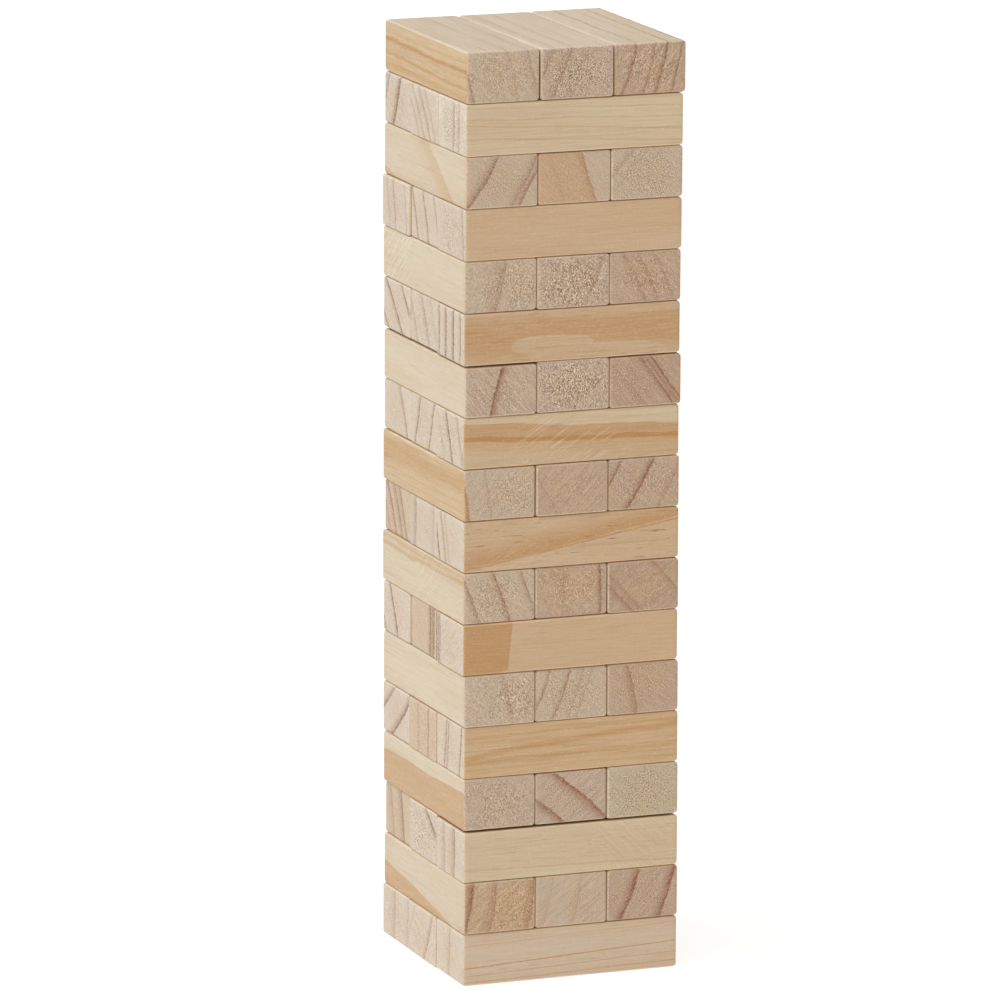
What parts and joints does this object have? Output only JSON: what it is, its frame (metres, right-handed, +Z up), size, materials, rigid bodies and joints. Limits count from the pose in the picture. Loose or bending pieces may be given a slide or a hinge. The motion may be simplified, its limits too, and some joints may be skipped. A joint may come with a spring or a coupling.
{
  "type": "giant tumbling tower",
  "caption": "Tower of loose pine blocks stacked in crosswise levels, for a game where players slide blocks out and restack them on top.",
  "frame": {"origin": "on the ground, under the middle of the tower", "axes": "+Z up; +X along the blocks of the odd levels, with their left ends at -X; +Y along the blocks of the even levels, towards the back"},
  "size_m": [0.1531, 0.1511, 0.6138],
  "materials": {
    "pine_pale": "bare sanded pine, pale outer wood",
    "pine_golden": "bare sanded pine, golden",
    "pine_tan": "bare sanded pine, tan wood near the heart"
  },
  "bodies": {
    "level_01_front": {"level_01_front_block": "pine_pale"},
    "level_01_middle": {"level_01_middle_block": "pine_golden"},
    "level_01_back": {"level_01_back_block": "pine_pale"},
    "level_02_left": {"level_02_left_block": "pine_golden"},
    "level_02_middle": {"level_02_middle_block": "pine_pale"},
    "level_02_right": {"level_02_right_block": "pine_tan"},
    "level_03_front": {"level_03_front_block": "pine_pale"},
    "level_03_middle": {"level_03_middle_block": "pine_pale"},
    "level_03_back": {"level_03_back_block": "pine_tan"},
    "level_04_left": {"level_04_left_block": "pine_golden"},
    "level_04_middle": {"level_04_middle_block": "pine_tan"},
    "level_04_right": {"level_04_right_block": "pine_pale"},
    "level_05_front": {"level_05_front_block": "pine_golden"},
    "level_05_middle": {"level_05_middle_block": "pine_tan"},
    "level_05_back": {"level_05_back_block": "pine_pale"},
    "level_06_left": {"level_06_left_block": "pine_pale"},
    "level_06_middle": {"level_06_middle_block": "pine_pale"},
    "level_06_right": {"level_06_right_block": "pine_golden"},
    "level_07_front": {"level_07_front_block": "pine_golden"},
    "level_07_middle": {"level_07_middle_block": "pine_golden"},
    "level_07_back": {"level_07_back_block": "pine_pale"},
    "level_08_left": {"level_08_left_block": "pine_golden"},
    "level_08_middle": {"level_08_middle_block": "pine_golden"},
    "level_08_right": {"level_08_right_block": "pine_tan"},
    "level_09_front": {"level_09_front_block": "pine_tan"},
    "level_09_middle": {"level_09_middle_block": "pine_pale"},
    "level_09_back": {"level_09_back_block": "pine_golden"},
    "level_10_left": {"level_10_left_block": "pine_golden"},
    "level_10_middle": {"level_10_middle_block": "pine_tan"},
    "level_10_right": {"level_10_right_block": "pine_tan"},
    "level_11_front": {"level_11_front_block": "pine_golden"},
    "level_11_middle": {"level_11_middle_block": "pine_pale"},
    "level_11_back": {"level_11_back_block": "pine_pale"},
    "level_12_left": {"level_12_left_block": "pine_pale"},
    "level_12_middle": {"level_12_middle_block": "pine_pale"},
    "level_12_right": {"level_12_right_block": "pine_golden"},
    "level_13_front": {"level_13_front_block": "pine_tan"},
    "level_13_middle": {"level_13_middle_block": "pine_golden"},
    "level_13_back": {"level_13_back_block": "pine_pale"},
    "level_14_left": {"level_14_left_block": "pine_pale"},
    "level_14_middle": {"level_14_middle_block": "pine_tan"},
    "level_14_right": {"level_14_right_block": "pine_tan"},
    "level_15_front": {"level_15_front_block": "pine_tan"},
    "level_15_middle": {"level_15_middle_block": "pine_pale"},
    "level_15_back": {"level_15_back_block": "pine_pale"},
    "level_16_left": {"level_16_left_block": "pine_pale"},
    "level_16_middle": {"level_16_middle_block": "pine_golden"},
    "level_16_right": {"level_16_right_block": "pine_pale"},
    "level_17_front": {"level_17_front_block": "pine_pale"},
    "level_17_middle": {"level_17_middle_block": "pine_pale"},
    "level_17_back": {"level_17_back_block": "pine_tan"},
    "level_18_left": {"level_18_left_block": "pine_golden"},
    "level_18_middle": {"level_18_middle_block": "pine_golden"},
    "level_18_right": {"level_18_right_block": "pine_tan"}
  },
  "joints": [
    {"name": "level_01_front_slide", "type": "slide", "parent": "level_01_middle", "child": "level_01_front", "axis": [1, 0, 0], "range_m": [-0.155, 0.155]},
    {"name": "level_01_back_slide", "type": "slide", "parent": "level_01_middle", "child": "level_01_back", "axis": [1, 0, 0], "range_m": [-0.155, 0.155]},
    {"name": "level_02_left_slide", "type": "slide", "parent": "level_01_middle", "child": "level_02_left", "axis": [0, 1, 0], "range_m": [-0.155, 0.155]},
    {"name": "level_02_middle_slide", "type": "slide", "parent": "level_01_middle", "child": "level_02_middle", "axis": [0, 1, 0], "range_m": [-0.155, 0.155]},
    {"name": "level_02_right_slide", "type": "slide", "parent": "level_01_middle", "child": "level_02_right", "axis": [0, 1, 0], "range_m": [-0.155, 0.155]},
    {"name": "level_03_front_slide", "type": "slide", "parent": "level_01_middle", "child": "level_03_front", "axis": [1, 0, 0], "range_m": [-0.155, 0.155]},
    {"name": "level_03_middle_slide", "type": "slide", "parent": "level_01_middle", "child": "level_03_middle", "axis": [1, 0, 0], "range_m": [-0.155, 0.155]},
    {"name": "level_03_back_slide", "type": "slide", "parent": "level_01_middle", "child": "level_03_back", "axis": [1, 0, 0], "range_m": [-0.155, 0.155]},
    {"name": "level_04_left_slide", "type": "slide", "parent": "level_01_middle", "child": "level_04_left", "axis": [0, 1, 0], "range_m": [-0.155, 0.155]},
    {"name": "level_04_middle_slide", "type": "slide", "parent": "level_01_middle", "child": "level_04_middle", "axis": [0, 1, 0], "range_m": [-0.155, 0.155]},
    {"name": "level_04_right_slide", "type": "slide", "parent": "level_01_middle", "child": "level_04_right", "axis": [0, 1, 0], "range_m": [-0.155, 0.155]},
    {"name": "level_05_front_slide", "type": "slide", "parent": "level_01_middle", "child": "level_05_front", "axis": [1, 0, 0], "range_m": [-0.155, 0.155]},
    {"name": "level_05_middle_slide", "type": "slide", "parent": "level_01_middle", "child": "level_05_middle", "axis": [1, 0, 0], "range_m": [-0.155, 0.155]},
    {"name": "level_05_back_slide", "type": "slide", "parent": "level_01_middle", "child": "level_05_back", "axis": [1, 0, 0], "range_m": [-0.155, 0.155]},
    {"name": "level_06_left_slide", "type": "slide", "parent": "level_01_middle", "child": "level_06_left", "axis": [0, 1, 0], "range_m": [-0.155, 0.155]},
    {"name": "level_06_middle_slide", "type": "slide", "parent": "level_01_middle", "child": "level_06_middle", "axis": [0, 1, 0], "range_m": [-0.155, 0.155]},
    {"name": "level_06_right_slide", "type": "slide", "parent": "level_01_middle", "child": "level_06_right", "axis": [0, 1, 0], "range_m": [-0.155, 0.155]},
    {"name": "level_07_front_slide", "type": "slide", "parent": "level_01_middle", "child": "level_07_front", "axis": [1, 0, 0], "range_m": [-0.155, 0.155]},
    {"name": "level_07_middle_slide", "type": "slide", "parent": "level_01_middle", "child": "level_07_middle", "axis": [1, 0, 0], "range_m": [-0.155, 0.155]},
    {"name": "level_07_back_slide", "type": "slide", "parent": "level_01_middle", "child": "level_07_back", "axis": [1, 0, 0], "range_m": [-0.155, 0.155]},
    {"name": "level_08_left_slide", "type": "slide", "parent": "level_01_middle", "child": "level_08_left", "axis": [0, 1, 0], "range_m": [-0.155, 0.155]},
    {"name": "level_08_middle_slide", "type": "slide", "parent": "level_01_middle", "child": "level_08_middle", "axis": [0, 1, 0], "range_m": [-0.155, 0.155]},
    {"name": "level_08_right_slide", "type": "slide", "parent": "level_01_middle", "child": "level_08_right", "axis": [0, 1, 0], "range_m": [-0.155, 0.155]},
    {"name": "level_09_front_slide", "type": "slide", "parent": "level_01_middle", "child": "level_09_front", "axis": [1, 0, 0], "range_m": [-0.155, 0.155]},
    {"name": "level_09_middle_slide", "type": "slide", "parent": "level_01_middle", "child": "level_09_middle", "axis": [1, 0, 0], "range_m": [-0.155, 0.155]},
    {"name": "level_09_back_slide", "type": "slide", "parent": "level_01_middle", "child": "level_09_back", "axis": [1, 0, 0], "range_m": [-0.155, 0.155]},
    {"name": "level_10_left_slide", "type": "slide", "parent": "level_01_middle", "child": "level_10_left", "axis": [0, 1, 0], "range_m": [-0.155, 0.155]},
    {"name": "level_10_middle_slide", "type": "slide", "parent": "level_01_middle", "child": "level_10_middle", "axis": [0, 1, 0], "range_m": [-0.155, 0.155]},
    {"name": "level_10_right_slide", "type": "slide", "parent": "level_01_middle", "child": "level_10_right", "axis": [0, 1, 0], "range_m": [-0.155, 0.155]},
    {"name": "level_11_front_slide", "type": "slide", "parent": "level_01_middle", "child": "level_11_front", "axis": [1, 0, 0], "range_m": [-0.155, 0.155]},
    {"name": "level_11_middle_slide", "type": "slide", "parent": "level_01_middle", "child": "level_11_middle", "axis": [1, 0, 0], "range_m": [-0.155, 0.155]},
    {"name": "level_11_back_slide", "type": "slide", "parent": "level_01_middle", "child": "level_11_back", "axis": [1, 0, 0], "range_m": [-0.155, 0.155]},
    {"name": "level_12_left_slide", "type": "slide", "parent": "level_01_middle", "child": "level_12_left", "axis": [0, 1, 0], "range_m": [-0.155, 0.155]},
    {"name": "level_12_middle_slide", "type": "slide", "parent": "level_01_middle", "child": "level_12_middle", "axis": [0, 1, 0], "range_m": [-0.155, 0.155]},
    {"name": "level_12_right_slide", "type": "slide", "parent": "level_01_middle", "child": "level_12_right", "axis": [0, 1, 0], "range_m": [-0.155, 0.155]},
    {"name": "level_13_front_slide", "type": "slide", "parent": "level_01_middle", "child": "level_13_front", "axis": [1, 0, 0], "range_m": [-0.155, 0.155]},
    {"name": "level_13_middle_slide", "type": "slide", "parent": "level_01_middle", "child": "level_13_middle", "axis": [1, 0, 0], "range_m": [-0.155, 0.155]},
    {"name": "level_13_back_slide", "type": "slide", "parent": "level_01_middle", "child": "level_13_back", "axis": [1, 0, 0], "range_m": [-0.155, 0.155]},
    {"name": "level_14_left_slide", "type": "slide", "parent": "level_01_middle", "child": "level_14_left", "axis": [0, 1, 0], "range_m": [-0.155, 0.155]},
    {"name": "level_14_middle_slide", "type": "slide", "parent": "level_01_middle", "child": "level_14_middle", "axis": [0, 1, 0], "range_m": [-0.155, 0.155]},
    {"name": "level_14_right_slide", "type": "slide", "parent": "level_01_middle", "child": "level_14_right", "axis": [0, 1, 0], "range_m": [-0.155, 0.155]},
    {"name": "level_15_front_slide", "type": "slide", "parent": "level_01_middle", "child": "level_15_front", "axis": [1, 0, 0], "range_m": [-0.155, 0.155]},
    {"name": "level_15_middle_slide", "type": "slide", "parent": "level_01_middle", "child": "level_15_middle", "axis": [1, 0, 0], "range_m": [-0.155, 0.155]},
    {"name": "level_15_back_slide", "type": "slide", "parent": "level_01_middle", "child": "level_15_back", "axis": [1, 0, 0], "range_m": [-0.155, 0.155]},
    {"name": "level_16_left_slide", "type": "slide", "parent": "level_01_middle", "child": "level_16_left", "axis": [0, 1, 0], "range_m": [-0.155, 0.155]},
    {"name": "level_16_middle_slide", "type": "slide", "parent": "level_01_middle", "child": "level_16_middle", "axis": [0, 1, 0], "range_m": [-0.155, 0.155]},
    {"name": "level_16_right_slide", "type": "slide", "parent": "level_01_middle", "child": "level_16_right", "axis": [0, 1, 0], "range_m": [-0.155, 0.155]},
    {"name": "level_17_front_slide", "type": "slide", "parent": "level_01_middle", "child": "level_17_front", "axis": [1, 0, 0], "range_m": [-0.155, 0.155]},
    {"name": "level_17_middle_slide", "type": "slide", "parent": "level_01_middle", "child": "level_17_middle", "axis": [1, 0, 0], "range_m": [-0.155, 0.155]},
    {"name": "level_17_back_slide", "type": "slide", "parent": "level_01_middle", "child": "level_17_back", "axis": [1, 0, 0], "range_m": [-0.155, 0.155]},
    {"name": "level_18_left_lift", "type": "slide", "parent": "level_01_middle", "child": "level_18_left", "axis": [0, 0, 1], "range_m": [0, 0.15]},
    {"name": "level_18_middle_lift", "type": "slide", "parent": "level_01_middle", "child": "level_18_middle", "axis": [0, 0, 1], "range_m": [0, 0.15]},
    {"name": "level_18_right_lift", "type": "slide", "parent": "level_01_middle", "child": "level_18_right", "axis": [0, 0, 1], "range_m": [0, 0.15]}
  ]
}
